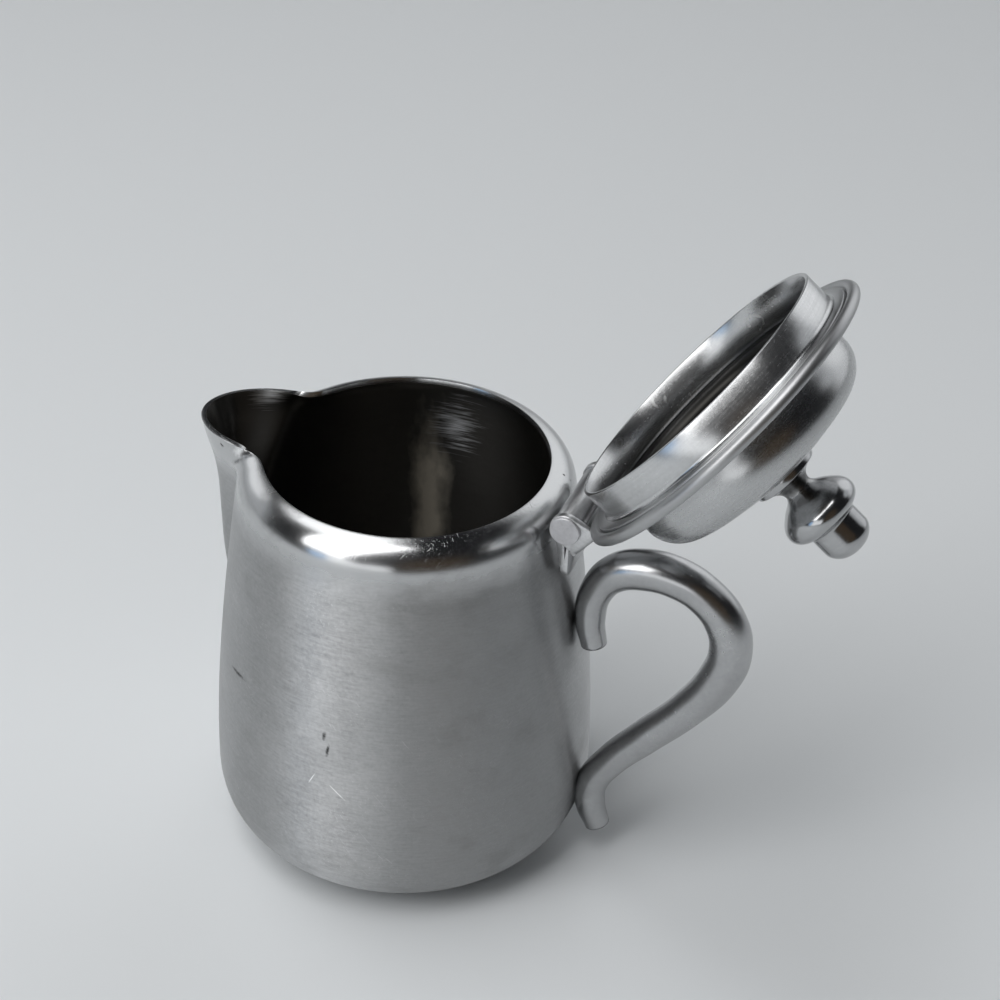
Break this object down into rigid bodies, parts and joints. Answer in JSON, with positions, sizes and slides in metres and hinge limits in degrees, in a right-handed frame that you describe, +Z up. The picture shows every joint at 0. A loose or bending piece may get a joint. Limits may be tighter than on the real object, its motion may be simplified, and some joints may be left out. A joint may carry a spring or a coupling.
{
  "type": "lidded creamer",
  "caption": "Small stainless steel pouring pot with a short spout, a scrolled rod handle and a domed lid that swings back on a hinge.",
  "frame": {"origin": "on the pot's axis, in the plane of the face it stands on", "axes": "+Z up along the pot's axis, -X towards the spout, +X towards the handle and the hinge, Y along the hinge pin"},
  "size_m": [0.127, 0.075, 0.1324],
  "materials": {
    "pot_satin": "satin, brushed round the pot",
    "handle_polish": "worn polish",
    "hinge_steel": "plain bright sheet",
    "lid_satin": "satin, brushed round the lid",
    "knob_polish": "worn polish",
    "screw_steel": "plain",
    "pin_steel": "matte, hammered flat"
  },
  "bodies": {
    "pot": {"body_shell": "pot_satin", "pouring_spout": "pot_satin", "handle": "handle_polish", "hinge_leaf": "hinge_steel"},
    "lid": {"lid_dome": "lid_satin", "lid_collar": "lid_satin", "lid_bracket": "hinge_steel", "lid_knob": "knob_polish", "knob_screw": "screw_steel", "hinge_pin": "pin_steel"}
  },
  "joints": [
    {"name": "lid_hinge", "type": "hinge", "parent": "pot", "child": "lid", "pos_m": [0.0343, 0, 0.0824], "axis": [0, 1, 0], "range_deg": [-128.2, 0]}
  ]
}
